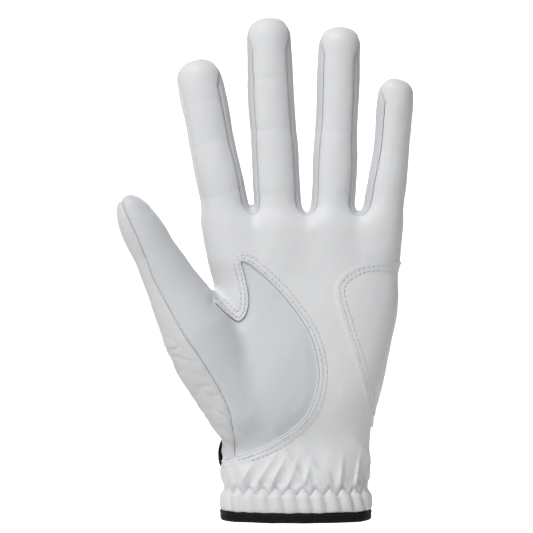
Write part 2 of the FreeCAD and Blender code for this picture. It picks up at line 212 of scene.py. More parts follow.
class Finger(Digit):
    FULL = 0.35 * MM             # seam grooves sink below this
    LONG = 1.1 * MM              # the leather stands this far off the fingertip
    BLUNT = 2.4                  # squareness of the tip's end
    TAPER = 2.2                  # where the tip's width is read off, in first segments
    BOW = {"little": 1.3 * MM}   # how far a finger's middle bows towards +X
    BOW_SPOT = 16 * MM
    BOW_LENGTH = 20 * MM

    def __init__(self, name):
        super().__init__(name, name + "_knuckle_joint", name + "_middle_joint")
        self.half_base = -low_high(name + "_knuckle_crease")[0][1] / FLATNESS
        self.half_middle = -low_high(name + "_middle_crease")[0][1] / FLATNESS
        top = max(low_high(name + "_tip_front")[1][2], low_high(name + "_tip_back")[1][2])
        self.reach = 0.9 * self.half_base
        slope = (self.half_middle - self.half_base) / self.middle
        self.half_tip = self.half_base + slope * self.middle * self.TAPER
        self.dome = (top - self.half_tip - self.knee[2]) / self.along[2] + self.LONG
        self.length = self.dome + self.half_tip
        self.bow = self.BOW.get(name, 0.0)

    def distance(self, p):
        s, u, v = self.local(p)
        u = u - self.bow * bump(s - self.BOW_SPOT, self.BOW_LENGTH)
        halves = [self.half_base, self.half_middle, self.half_tip]
        radius = np.interp(s, [0, self.dome / 2, self.dome], halves) + self.FULL
        beyond = np.maximum(s - self.dome, 0)
        beneath = np.minimum(s + 3 * self.reach, 0)
        round_off = (u ** 2 + (v / FLATNESS) ** 2) ** 0.5
        tip = (round_off ** self.BLUNT + beyond ** self.BLUNT) ** (1 / self.BLUNT)
        return np.hypot(tip, beneath) - radius


class Thumb(Digit):
    # distance from the base joint in mm, and half width in mm: the ball, the web, the tip joint
    SECTIONS = ((-70, 15.5), (-52, 17.4), (-30, 18.3), (-16, 17.6), (-8, 15.8), (8, 12.4), (25, 10.2))
    REACH = 8.5 * MM             # half the length that a joint bends over
    LOW_END = 58 * MM            # the ball ends this far below the base joint
    SHORT = 1.0 * MM
    BLUNT = 2.4
    FLAT = 0.9                   # depth over width

    def __init__(self):
        super().__init__("thumb", "thumb_base_joint", "thumb_tip_joint")
        top = max(low_high("thumb_tip_front")[1][2], low_high("thumb_tip_back")[1][2])
        self.length = (top - self.knee[2]) / self.along[2] - self.SHORT
        self.reach = self.REACH
        self.half = self.SECTIONS[-1][1] * MM

    def radius(self, s):
        spots, halves = zip(*self.SECTIONS)
        return np.interp(s, np.array(spots) * MM, np.array(halves) * MM)

    def distance(self, p):
        s, u, v = self.local(p)
        radius = self.radius(s)
        rise = self.length - self.middle
        beyond = np.maximum(s - self.middle, 0) * self.half / rise
        beneath = np.minimum(s + self.LOW_END, 0)
        round_off = (u ** 2 + (v / self.FLAT) ** 2) ** 0.5
        tip = (round_off ** self.BLUNT + beyond ** self.BLUNT) ** (1 / self.BLUNT)
        return np.hypot(tip, beneath) - radius


fingers = [Finger(name) for name in FINGERS]
thumb = Thumb()
WEB = fingers[1].at(-fingers[1].reach)[2]        # height of the webs between the fingers


def on_palm(points):
    """Points given as shares of the palm's width and height, in X and Z."""
    left = fingers[0].at(-fingers[0].reach)[0] - fingers[0].half_base
    return np.array([(left + a * (PALM_HIGH[0] - left), b * WEB) for a, b in points])


# ---- the skin's form
WRIST_TOP = 0.22             # the wrist's share of the palm's height
WIDENING = 0.66              # share of the rest over which the little finger's side widens
HEEL_BULGE, HEEL_Z, HEEL_TALL = 2.6 * MM, 72 * MM, 24 * MM
WAIST_DEEP, WAIST_Z, WAIST_TALL = 5.0 * MM, 35 * MM, 13 * MM
HOLLOW_DEEP, HOLLOW_X, HOLLOW_WIDE, HOLLOW_Z, HOLLOW_TALL = np.array([1.6, 8, 16, 62, 26]) * MM


def palm_distance(p):
    x, y, z = p.T
    t = np.clip((z / WEB - WRIST_TOP) / (1 - WRIST_TOP), 0, 1)
    index = fingers[0]
    left_end = index.at(-index.reach)[0] - index.half_base
    left = -WRIST_HALF + (left_end + WRIST_HALF) * t ** 2
    right = WRIST_HALF + (PALM_HIGH[0] - PALM_INSET - WRIST_HALF) * smooth(0, WIDENING, t)
    deep = WRIST_DEEP + (PALM_DEEP - WRIST_DEEP) * t ** 1.4
    heel = HEEL_BULGE * bump(z - HEEL_Z, HEEL_TALL) - WAIST_DEEP * bump(z - WAIST_Z, WAIST_TALL)
    hollow = -HOLLOW_DEEP * bump(x - HOLLOW_X, HOLLOW_WIDE) * bump(z - HOLLOW_Z, HOLLOW_TALL)
    deep = deep + np.where(y < 0, heel + hollow, 0.5 * heel)
    half = (right - left) / 2
    a = np.abs(x - (left + right) / 2) / half
    b = np.abs(y) / deep
    n = POWER
    g = np.maximum((a ** n + b ** n) ** (1 / n), 1e-6)
    slope = g ** (1 - n) * np.hypot(a ** (n - 1) / half, b ** (n - 1) / deep)
    wall = (g - 1) / np.maximum(slope, 0.25 / half)
    return soft_max(wall, z - WEB + WEB_SINK, PALM_CROWN)


def skin_distance(p):
    between = fingers[0].distance(p)
    for finger in fingers[1:]:
        between = soft_min(between, finger.distance(p), BETWEEN_FINGERS)
    hand = soft_min(between, palm_distance(p), FINGER_TO_PALM)
    return soft_min(hand, thumb.distance(p), THUMB_TO_HAND)


def skin_slope(p):
    step = 0.2 * MM
    parts = [skin_distance(p + step * e) - skin_distance(p - step * e) for e in np.eye(3)]
    return np.stack(parts, 1) / (2 * step)


def settle(p, rounds=4):
    """Moves points onto the skin, and gives the skin's outward direction there."""
    for _ in range(rounds):
        g = skin_slope(p)
        p = p - g * (skin_distance(p) / np.maximum((g ** 2).sum(1), 0.05))[:, None]
    g = skin_slope(p)
    return p, g / np.linalg.norm(g, axis=1, keepdims=True)


def surface_net():
    """Triangles over the skin's zero level, found cell by cell on a grid."""
    low = np.array([cad_box[0][0], cad_box[0][1], 0.0]) - 5 * GRID
    high = np.array(cad_box[1]) + 5 * GRID
    axes = [np.arange(a, b, GRID) for a, b in zip(low, high)]
    shape = tuple(len(a) for a in axes)
    nodes = np.stack(np.meshgrid(*axes, indexing="ij"), -1).reshape(-1, 3)
    value = skin_distance(nodes).reshape(shape)
    cells = tuple(n - 1 for n in shape)
    total = np.zeros(cells + (3,))
    count = np.zeros(cells)
    faces = []
    number = np.arange(np.prod(cells)).reshape(cells)
    for axis in range(3):
        a = np.take(value, range(shape[axis] - 1), axis)
        b = np.take(value, range(1, shape[axis]), axis)
        cross = (a < 0) != (b < 0)
        where = np.argwhere(cross)
        share = (a / np.where(a == b, 1, a - b))[cross]
        spot = low + where * GRID
        spot[:, axis] += share * GRID
        others = [k for k in range(3) if k != axis]
        corners = []
        for d0, d1 in ((0, 0), (1, 0), (1, 1), (0, 1)):
            cell = where.copy()
            cell[:, others[0]] -= d0
            cell[:, others[1]] -= d1
            corners.append(cell)
        inside = np.all([((c >= 0) & (c < cells)).all(1) for c in corners], axis=0)
        for c in corners:
            ok = ((c >= 0) & (c < cells)).all(1)
            index = tuple(c[ok].T)
            np.add.at(total, index, spot[ok])
            np.add.at(count, index, 1)
        quad = np.stack([number[tuple(c[inside].T)] for c in corners], 1)
        outward = (a < 0)[cross][inside]
        if axis == 1:
            outward = ~outward
        quad[~outward] = quad[~outward][:, ::-1]
        faces.append(quad)
    quads = np.concatenate(faces)
    used, quads = np.unique(quads, return_inverse=True)
    quads = quads.reshape(-1, 4)
    points = total.reshape(-1, 3)[used] / count.reshape(-1)[used][:, None]
    return points, np.concatenate([quads[:, [0, 1, 2]], quads[:, [0, 2, 3]]])


def subdivide(points, tris):
    edges = np.sort(np.concatenate([tris[:, [0, 1]], tris[:, [1, 2]], tris[:, [2, 0]]]), axis=1)
    edges, back = np.unique(edges, axis=0, return_inverse=True)
    middle = back.reshape(3, -1).T + len(points)
    a, b, c = tris.T
    ab, bc, ca = middle.T
    tris = np.concatenate([np.stack(t, 1) for t in ((a, ab, ca), (ab, b, bc), (ca, bc, c), (ab, bc, ca))])
    return np.concatenate([points, points[edges].mean(1)]), tris


def vertex_normals(points, tris):
    a, b, c = (points[tris[:, k]] for k in range(3))
    face = np.cross(b - a, c - a)
    total = np.zeros_like(points)
    for k in range(3):
        for axis in range(3):
            total[:, axis] += np.bincount(tris[:, k], face[:, axis], len(points))
    return total / np.maximum(np.linalg.norm(total, axis=1, keepdims=True), 1e-12)


# ---- seam lines on the palm
# shares of the palm's width and height, taken by on_palm
GUSSET = ((0.183, 0.850), (0.235, 0.836), (0.362, 0.762), (0.484, 0.661), (0.546, 0.580),
          (0.571, 0.471), (0.516, 0.351), (0.372, 0.269), (0.193, 0.217), (0.050, 0.190))
TONGUE = ((0.183, 0.850), (0.205, 0.80), (0.222, 0.735), (0.212, 0.682), (0.172, 0.655), (0.120, 0.678),
          (0.063, 0.716))
THUMB_SEAM = ((-0.420, 1.075), (-0.397, 1.024), (-0.324, 0.925), (-0.257, 0.801),
              (-0.210, 0.740), (-0.103, 0.618), (-0.018, 0.537), (0.078, 0.432),
              (0.127, 0.358), (0.141, 0.296), (0.146, 0.21))
HEEL = ((1.10, 0.852), (0.90, 0.848), (0.80, 0.842), (0.71, 0.814), (0.665, 0.782), (0.655, 0.745),
        (0.679, 0.680), (0.740, 0.555), (0.791, 0.431), (0.850, 0.262))


def spline(points, per_span=14):
    """Smooth open curve through points (Catmull-Rom)."""
    p = np.vstack([2 * points[0] - points[1], points, 2 * points[-1] - points[-2]])
    t = np.linspace(0, 1, per_span, endpoint=False)[:, None]
    parts = []
    for a, b, c, d in zip(p, p[1:], p[2:], p[3:]):
        parts.append(0.5 * (2 * b + (c - a) * t + (2 * a - 5 * b + 4 * c - d) * t ** 2
                            + (3 * b - a - 3 * c + d) * t ** 3))
    return np.vstack(parts + [points[-1:]])


def signed_distance(p, line, closing):
    """Distance in X and Z to a line: positive inside the loop that closing completes."""
    q = p[:, [0, 2]]
    nearest = np.full(len(q), OUTSIDE)
    for a, b in zip(line, line[1:]):
        ab = b - a
        t = np.clip(((q - a) @ ab) / (ab @ ab), 0, 1)
        nearest = np.minimum(nearest, np.linalg.norm(q - a - t[:, None] * ab, axis=1))
    loop = np.vstack([line, closing])
    inside = np.zeros(len(q), bool)
    for a, b in zip(loop, np.roll(loop, -1, 0)):
        if a[1] == b[1]:
            continue
        spans = (a[1] > q[:, 1]) != (b[1] > q[:, 1])
        inside ^= spans & (q[:, 0] < (b[0] - a[0]) * (q[:, 1] - a[1]) / (b[1] - a[1]) + a[0])
    return np.where(inside, nearest, -nearest)


def closed_at(side, line):
    """Two corners that close a line round one side of the glove."""
    return np.array([(side, line[-1][1]), (side, line[0][1])])


gusset_line = np.vstack([spline(on_palm(TONGUE))[::-1], spline(on_palm(GUSSET))[1:]])
past_thumb = thumb.at(PAST_TIP)[[0, 2]] + (PAST_SIDE, 0)
gusset_closing = np.array([(LEFT_OF_ALL, gusset_line[-1][1]), (LEFT_OF_ALL, ABOVE_ALL), past_thumb])
heel_line = spline(on_palm(HEEL))
heel_closing = closed_at(RIGHT_OF_ALL, heel_line)
thumb_line = spline(on_palm(THUMB_SEAM))
thumb_closing = closed_at(LEFT_OF_ALL, thumb_line)

# seam over the back of the thumb's ball, X and Z in mm, and the X it runs up at
BALL_BACK = ((-42.0, 104.5), (-35.5, 98), (-25.0, 78), (-20.5, 55), (-25.0, 38), (-34.5, 28.5))
BALL_BACK_TOP = -0.075
ball_back_line = spline(np.array(BALL_BACK) * MM)
ball_back_closing = np.array([(LEFT_OF_ALL, ball_back_line[-1][1]), (LEFT_OF_ALL, ABOVE_ALL),
                              (BALL_BACK_TOP, ABOVE_ALL)])

SLIT_LOW, SLIT_HIGH = low_high("slit_tape")
SLIT_EDGE = 3.0 * MM
PANEL_LOW, PANEL_HIGH = low_high("knuckle_stretch_panel")
TAB_LOW, TAB_HIGH = low_high("closure_tab")
ANCHOR_LOW, ANCHOR_HIGH = low_high("tab_anchor")
TRIM_LOW, TRIM_HIGH = low_high("tab_trim")
TAB_END = -38.6 * MM         # free end of the tab, measured round the wrist from the back
TAB_TRIM = 3.0 * MM
TAB_OVERLAP = 3.4 * MM       # the taper is measured to this far past the sewn line
TAB_ROUND = 12.0 * MM        # the tab may lie this far in front of the middle plane
KNIT_CORNER = 4.5 * MM
END_HALF = (TRIM_HIGH[2] - TRIM_LOW[2]) / 2
END_MIDDLE = (TRIM_HIGH[2] + TRIM_LOW[2]) / 2
TAB_HALF = (TAB_HIGH[2] - TAB_LOW[2]) / 2
TAB_MIDDLE = (TAB_HIGH[2] + TAB_LOW[2]) / 2
TAB_START = TAB_END + END_HALF
TAB_HINGE = round_wrist(np.array([[TAB_HIGH[0], WRIST_DEEP, 0]]), 1.0)[0]


def slit_field(p):
    """Distance inside the taped edge of the slit in the back."""
    x, y, z = p.T
    middle = (SLIT_LOW[0] + SLIT_HIGH[0]) / 2
    top = 2 * SLIT_EDGE
    crown = SLIT_HIGH[2] - top
    half = np.interp(z, [SLIT_LOW[2], crown], [(SLIT_HIGH[0] - SLIT_LOW[0]) / 2, top])
    inside = np.where(z < crown, half - np.abs(x - middle), top - np.hypot(x - middle, z - crown))
    return np.minimum(inside, y)


def rounded_box(x, z, low, high, radius):
    """Distance inside a box in X and Z with round corners."""
    a = np.abs(x - (low[0] + high[0]) / 2) - (high[0] - low[0]) / 2 + radius
    b = np.abs(z - (low[2] + high[2]) / 2) - (high[2] - low[2]) / 2 + radius
    return radius - np.hypot(np.maximum(a, 0), np.maximum(b, 0)) - np.minimum(np.maximum(a, b), 0)


def tab_field(p):
    """Distance inside the closure tab, which narrows towards its round free end."""
    x, y, z = p.T
    way = round_wrist(p, 1.0)
    span = [TAB_START, TAB_HINGE + TAB_OVERLAP]
    half = np.interp(way, span, [END_HALF, TAB_HALF])
    middle = np.interp(way, span, [END_MIDDLE, TAB_MIDDLE])
    body = half - np.abs(z - middle)
    body = np.where(way < TAB_START, END_HALF - np.hypot(way - TAB_START, z - END_MIDDLE), body)
    return np.minimum(np.minimum(body, TAB_HIGH[0] - x), y + TAB_ROUND)


class Fields:
    """Where every point of the rest skin lies with respect to the seams."""

    def __init__(self, p):
        self.p = p
        x, y, z = p.T
        near = [f.distance(p) for f in fingers]
        self.finger = [np.min([near[j] for j in range(4) if j != i], 0) - near[i] for i in range(4)]
        self.local = [f.local(p) for f in fingers]
        others = np.minimum(np.min(near, 0), palm_distance(p))
        self.thumb = others - thumb.distance(p)
        self.ts, _, self.tv = thumb.local(p)
        self.thumb_left = signed_distance(p, thumb_line, thumb_closing)
        self.thumb_behind = y - thumb.at(0)[1] - 4 * MM
        self.side = np.where(x < 0, -SIDE_SEAM, SIDE_SEAM) - y
        self.gusset = signed_distance(p, gusset_line, gusset_closing)
        self.ball_back = signed_distance(p, ball_back_line, ball_back_closing)
        self.slit = slit_field(p)
        self.tab = tab_field(p)
        self.panel = np.minimum(rounded_box(x, z, PANEL_LOW, PANEL_HIGH, KNIT_CORNER), y)
        self.heel = signed_distance(p, heel_line, heel_closing)
        self.strips = [self.finger_strips(f, loc) for f, loc in zip(fingers, self.local)]

    @staticmethod
    def finger_strips(finger, local):
        """Front and back fields of a finger; between them lie its side strips."""
        s, u, v = local
        fade = np.clip((finger.length - 1 * MM - s) / (finger.half_tip + 3 * MM), 0, 1)
        strip = (SIDE_STRIP, SIDE_STRIP)
        left = (INDEX_SEAM, -INDEX_SEAM) if finger.name == "index" else strip
        right = (LITTLE_SEAM, -LITTLE_SEAM) if finger.name == "little" else strip
        front = v - np.where(u < 0, left[0], right[0]) * fade
        back = -v - np.where(u < 0, left[1], right[1]) * fade
        return front, back


# ---- relief: seams, wrinkles, gathers
def zigzag_height(arc):
    return GATHER_LINE + ZIG_RISE * (1 - 2 * np.abs((arc / ZIG_LEG) % 2 - 1))


PUFF_PITCH = 6.6 * MM
# wrinkles above the zigzag: seed, width in mm, lean, depth in mm, height in mm
WRINKLES = ((2, 7.5, 0.3, 1.4, 10), (3, 12.0, -0.45, 1.7, 20), (4, 19.0, 0.7, 1.7, 34))


def gather_relief(p):
    """Puffs under the zigzag line, and the wrinkles that fan out above it."""
    z = p[:, 2]
    way = round_wrist(p)
    drift = 1.2 * MM * waves(along_x(way), 22 * MM, 1)
    slant = 0.22 * (z - GATHER_LINE)
    puff = np.abs(np.sin(math.pi * (way + drift + slant) / PUFF_PITCH)) ** 0.8
    skirt = smooth(3.6 * MM, 6.5 * MM, z) * (1 - smooth(GATHER_LINE - 3.4 * MM, GATHER_LINE - 0.6 * MM, z))
    high = skirt * (1.9 * puff - 0.5) * MM
    high -= 0.95 * MM * bump(z - zigzag_height(way), 1.2 * MM)
    high -= 0.4 * MM * bump(z - GATHER_LINE, 3.4 * MM)
    up = z - GATHER_LINE
    for seed, width, lean, size, tall in WRINKLES:
        lane = np.stack([way + lean * up, up * 0.12, 0 * z], 1)
        fold = np.abs(waves(lane, width * MM, seed, 7))
        fold = 1 - np.clip(fold * 1.1, 0, 1) ** 0.7
        stretch = smooth(0, 4 * MM, up) * (1 - smooth(0.25 * tall * MM, tall * MM, up))
        high += size * MM * (fold - 0.45) * stretch
    return high


def seam_groove(distance, along, depth):
    """A turned seam: a round valley with a faint pull at every stitch."""
    pull = 1 + 0.12 * np.sin(2 * math.pi * along / PULL_PITCH)
    return -depth * bump(distance, 0.8 * MM) * pull - 0.25 * depth * bump(distance, 2.6 * MM)


# depths and heights of the relief
FINGER_SEAM = 0.85 * MM
FINGER_BACK_SEAM = 0.6 * MM
THUMB_SEAM_DEEP = 0.95 * MM
PLAIN_SEAM = 0.5 * MM
KNIT_SEAM = 0.45 * MM
STRIP_SINK = 0.35 * MM
CRUMPLE = 0.45 * MM
PINCH = 0.8 * MM
CREASES = np.array([0.20, 0.26, 0.2]) * MM       # at the knuckle, middle joint and last joint
LAST_JOINT = 0.46                                # its share of the way from the middle joint on
HEM = 0.40 * MM                                  # turned edge of a sewn-on panel
NEEDLE = 0.16 * MM                               # dents along its two rows of stitches
BETWEEN_ROWS = 0.22 * MM
HEM_SIZES = (1.0, 0.6)                           # of the gusset and of the heel patch
DRAPE = 0.28 * MM
RIPPLE = 0.07 * MM


def finger_relief(p, f, i):
    """One finger's seams, sunk side strips and creases, and how far a point is on it."""
    finger = fingers[i]
    s, u, v = f.local[i]
    mine = smooth(-1 * MM, 1 * MM, f.finger[i]) * smooth(-finger.reach - 3 * MM, -finger.reach, s)
    front, back = f.strips[i]
    high = mine * (seam_groove(front, s, FINGER_SEAM) + seam_groove(back, s, FINGER_BACK_SEAM))
    strip = np.minimum(smooth(0, 1.5 * MM, -front), smooth(0, 1.5 * MM, -back))
    high -= mine * STRIP_SINK * strip
    last = finger.middle + LAST_JOINT * (finger.length - finger.middle)
    for spot, size in zip((0.0, finger.middle, last), CREASES):
        across = s - spot + 0.8 * MM * waves(p, 14 * MM, 20 + i)
        high -= mine * smooth(2 * MM, 7 * MM, v) * size * bump(across, 1.8 * MM)
    return high, mine


def thumb_relief(p, f):
    """The seam up the thumb, the crumpled back of its ball, and the gusset's pinched edge."""
    y, z = p[:, 1], p[:, 2]
    ball = smooth(gusset_line[-1][1] - 2 * MM, gusset_line[-1][1] + 3 * MM, z) * (f.tv > -6 * MM)
    ball *= smooth(-6 * MM, 0, f.gusset)
    high = ball * seam_groove(f.thumb_left, f.ts, THUMB_SEAM_DEEP)
    crumple = np.abs(waves(p * (0.5, 1, 2.2), 15 * MM, 8, 8))
    on_back = smooth(0, 4 * MM, f.thumb_left) * smooth(-4 * MM, 4 * MM, thumb.at(-20 * MM)[2] - z)
    high -= CRUMPLE * on_back * bump(crumple, 0.35) * smooth(20 * MM, 34 * MM, z)
    inside = f.gusset * (f.tv > -8 * MM)
    pinch = smooth(-0.5 * MM, 0.5 * MM, inside) * (1 - smooth(0, 6 * MM, inside))
    return high - PINCH * pinch * (y < 0)


def hem_relief(p, seam, size):
    """A turned edge with two sewn rows: a ridge, and dents where the thread pulls."""
    pull = 1 + 0.5 * np.sin(2 * math.pi * (p[:, 0] + p[:, 2]) / STITCH_PITCH)
    high = size * HEM * bump(seam + 0.5 * MM, 0.7 * MM)
    high -= size * NEEDLE * (bump(seam + ROWS[0], 0.7 * MM) + bump(seam + ROWS[1], 0.7 * MM)) * pull
    high += size * BETWEEN_ROWS * bump(seam + 2.5 * MM, 0.7 * MM)
    return high * (p[:, 1] < 0)


def relief(p, f):
    """How far the finished skin stands off the smooth one."""
    x, y, z = p.T
    high = np.zeros(len(p))
    on_finger = np.zeros(len(p))
    for i in range(len(fingers)):
        more, mine = finger_relief(p, f, i)
        high += more
        on_finger = np.maximum(on_finger, mine)
    on_thumb = smooth(-1 * MM, 1 * MM, f.thumb) * smooth(-thumb.reach, -thumb.reach + 4 * MM, f.ts)
    hand = 1 - np.maximum(on_finger, on_thumb)
    thumb_root = smooth(thumb.at(-thumb.reach)[2] + 3 * MM, thumb.at(0)[2] + 4 * MM, z)
    edge = np.where(x < 0, thumb_root, 1.0)
    high += hand * edge * smooth(30 * MM, 42 * MM, z) * seam_groove(f.side, z, PLAIN_SEAM)
    high += thumb_relief(p, f)
    for seam, size in zip((f.gusset, -f.heel), HEM_SIZES):
        high += hem_relief(p, seam, size)
    behind = y > 0
    high += behind * hand * smooth(28 * MM, 36 * MM, z) * seam_groove(f.ball_back, z, PLAIN_SEAM)
    high += behind * hand * seam_groove(f.panel, x, KNIT_SEAM)
    flat = behind * np.maximum(smooth(-6 * MM, 0, f.tab), smooth(-3 * MM, 1 * MM, f.slit))
    high += gather_relief(p) * (1 - 0.85 * flat)
    calm = smooth(12 * MM, 60 * MM, z)
    high += DRAPE * waves(p, 34 * MM, 5) * (0.4 + 0.6 * calm) + RIPPLE * waves(p, 9 * MM, 6)
    return high


# ---- cutting the skin into panels
ON_THE_LINE = 1e-7           # corners nearer than this to a cut are moved off it
WELD = 0.002 * MM


class Patch:
    """Triangles with, at every corner, a place, an outward direction and the rest place."""

    def __init__(self, data, tris):
        self.data = data
        self.tris = tris

    def split(self, rule, gap=0.0):
        """The part where rule(fields) is positive, and the rest, each cut back by a gap."""
        if len(self.tris) == 0:
            return self, self
        value = rule(Fields(self.data[:, 6:9]))
        value = np.where(np.abs(value - gap) < ON_THE_LINE, gap + ON_THE_LINE, value)
        return self.clip(value - gap), self.clip(-value - gap)

    def clip(self, value):
        sign = value[self.tris] > 0
        count = sign.sum(1)
        whole = self.tris[count == 3]
        made = []
        extra = []
        size = len(self.data)

        def cut(a, b):
            t = value[a] / (value[a] - value[b])
            extra.append(self.data[a] + (self.data[b] - self.data[a]) * t[:, None])
            start = size + sum(len(e) for e in extra[:-1])
            return np.arange(start, start + len(a))

        for k in range(3):
            a, b, c = (self.tris[:, (k + j) % 3] for j in range(3))
            one = (count == 1) & sign[:, k]
            two = (count == 2) & ~sign[:, k]
            if one.any():
                ab, ac = cut(a[one], b[one]), cut(a[one], c[one])
                made.append(np.stack([a[one], ab, ac], 1))
            if two.any():
                ba, ca = cut(b[two], a[two]), cut(c[two], a[two])
                made.append(np.stack([ba, b[two], c[two]], 1))
                made.append(np.stack([ba, c[two], ca], 1))
        data = np.vstack([self.data] + extra)
        tris = np.vstack([whole] + made)
        used, tris = np.unique(tris, return_inverse=True)
        return Patch(data[used], tris.reshape(-1, 3))

    def __add__(self, other):
        tris = np.vstack([self.tris, other.tris + len(self.data)])
        return Patch(np.vstack([self.data, other.data]), tris)

    def welded(self):
        key = np.round(self.data[:, :3] / WELD).astype(np.int64)
        _, first, back = np.unique(key, axis=0, return_index=True, return_inverse=True)
        tris = back.reshape(-1)[self.tris]
        keep = (tris[:, 0] != tris[:, 1]) & (tris[:, 1] != tris[:, 2]) & (tris[:, 2] != tris[:, 0])
        return Patch(self.data[first], tris[keep])

    def lifted(self, height):
        """Moved outwards by a height, a number or one for each corner."""
        data = self.data.copy()
        data[:, :3] += data[:, 3:6] * np.reshape(height, (-1, 1))
        return Patch(data, self.tris)


def make_piece(name, points, faces, normals=None):
    mesh = bpy.data.meshes.new(name)
    mesh.from_pydata(points.tolist(), [], np.asarray(faces).tolist())
    mesh.polygons.foreach_set("use_smooth", np.full(len(mesh.polygons), True))
    if normals is not None:
        mesh.normals_split_custom_set_from_vertices(normals.tolist())
    mesh.update()
    piece = bpy.data.objects.new(name, mesh)
    bpy.context.scene.collection.objects.link(piece)
    return piece


def leather_piece(name, patch, thickness=LEATHER, rounded=0.0):
    """A closed panel: the patch, an inner copy, and a rim along every edge."""
    patch = patch.welded()
    outer, out = patch.data[:, :3], patch.data[:, 3:6]
    tris = patch.tris
    edges = np.concatenate([tris[:, [0, 1]], tris[:, [1, 2]], tris[:, [2, 0]]])
    size = len(outer)
    key = np.sort(edges, 1)
    key = key[:, 0] * size + key[:, 1]
    _, first, count = np.unique(key, return_index=True, return_counts=True)
    rim = edges[first[count == 1]]
    inner = outer - out * thickness
    a, b = rim.T
    edge_points, place = np.unique(rim, return_inverse=True)
    place = place.reshape(-1, 2)
    away = np.zeros((len(edge_points), 3))
    side = np.cross(outer[b] - outer[a], out[a] + out[b])
    side /= np.maximum(np.linalg.norm(side, axis=1, keepdims=True), 1e-9)
    np.add.at(away, place[:, 0], side)
    np.add.at(away, place[:, 1], side)
    away /= np.maximum(np.linalg.norm(away, axis=1, keepdims=True), 1e-9)
    start = 2 * size
    top = outer[edge_points] - out[edge_points] * thickness * rounded
    low = inner[edge_points]
    points = np.vstack([outer, inner, top, low])
    normals = np.vstack([out, -out, away, away])
    ta, tb = place.T + start
    la, lb = ta + len(edge_points), tb + len(edge_points)
    faces = [tris, tris[:, ::-1] + size, np.stack([tb, ta, la], 1), np.stack([tb, la, lb], 1)]
    if rounded:
        faces += [np.stack([b, a, ta], 1), np.stack([b, ta, tb], 1)]
    return make_piece(name, points, np.vstack(faces), normals)


# ---- materials
def plug(made, **inputs):
    """Gives a shader node's inputs their values, or links other nodes' outputs to them."""
    for key, value in inputs.items():
        socket = made.inputs[key.replace("_", " ")]
        if isinstance(value, bpy.types.NodeSocket):
            made.id_data.links.new(value, socket)
        else:
            socket.default_value = value


def shader(name, colour, roughness):
    """A material whose nodes start with a principled shader and object coordinates."""
    material = bpy.data.materials.new(name)
    material.use_nodes = True
    tree = material.node_tree
    principled = tree.nodes["Principled BSDF"]
    plug(principled, Base_Color=(*colour, 1), Roughness=roughness)
    place = tree.nodes.new("ShaderNodeTexCoord").outputs["Object"]
    return material, tree, principled, place


def node(tree, kind, settings=(), **inputs):
    made = tree.nodes.new(kind)
    for key, value in dict(settings).items():
        setattr(made, key, value)
    plug(made, **inputs)
    return made


def blend_colours(tree, share, colour, other):
    mix = node(tree, "ShaderNodeMix", {"data_type": "RGBA"}, Factor=share, A=(*colour, 1), B=(*other, 1))
    return mix.outputs["Result"]


def mottle(tree, place, colour, other, scale):
    """Colour that drifts between two near shades."""
    cloud = node(tree, "ShaderNodeTexNoise", Vector=place, Scale=scale, Detail=3.0)
    return blend_colours(tree, cloud.outputs["Fac"], colour, other)


def leather_material(name, colour, other, roughness=0.52, grain=0.05):
    """Fine full-grain leather: pebbled cells, pores and faint creases."""
    material, tree, principled, place = shader(name, colour, roughness)
    pebble = node(tree, "ShaderNodeTexVoronoi", {"feature": "SMOOTH_F1"}, Vector=place, Scale=1500.0)
    crease = node(tree, "ShaderNodeTexNoise", Vector=place, Scale=420.0, Detail=5.0, Roughness=0.62)
    total = node(tree, "ShaderNodeMath", {"operation": "MULTIPLY_ADD"})
    tree.links.new(crease.outputs["Fac"], total.inputs[0])
    total.inputs[1].default_value = 1.6
    tree.links.new(pebble.outputs["Distance"], total.inputs[2])
    raised = node(tree, "ShaderNodeBump", Height=total.outputs["Value"], Strength=0.5, Distance=grain * MM)
    sheen = node(tree, "ShaderNodeMapRange", Value=crease.outputs["Fac"], To_Min=roughness - 0.08,
                 To_Max=roughness + 0.10)
    plug(principled, Normal=raised.outputs["Normal"], Roughness=sheen.outputs["Result"],
         Base_Color=mottle(tree, place, colour, other, 45.0), Specular_IOR_Level=0.35,
         Subsurface_Weight=0.08, Subsurface_Radius=(0.0012, 0.0010, 0.0008))
    return material


def woven_material(name, colour, other, scale, roughness=0.85, depth=0.08, sheen=0.2):
    """Crossed threads: two bands of fine waves, one each way."""
    material, tree, principled, place = shader(name, colour, roughness)
    over, under = (node(tree, "ShaderNodeTexWave", {"bands_direction": axis}, Vector=place, Scale=scale,
                        Distortion=0.6) for axis in "XZ")
    weave = node(tree, "ShaderNodeMath", {"operation": "MULTIPLY"})
    tree.links.new(over.outputs["Fac"], weave.inputs[0])
    tree.links.new(under.outputs["Fac"], weave.inputs[1])
    raised = node(tree, "ShaderNodeBump", Height=weave.outputs["Value"], Strength=0.6, Distance=depth * MM)
    plug(principled, Normal=raised.outputs["Normal"], Sheen_Weight=sheen, Specular_IOR_Level=0.2,
         Base_Color=blend_colours(tree, weave.outputs["Value"], other, colour))
    return material


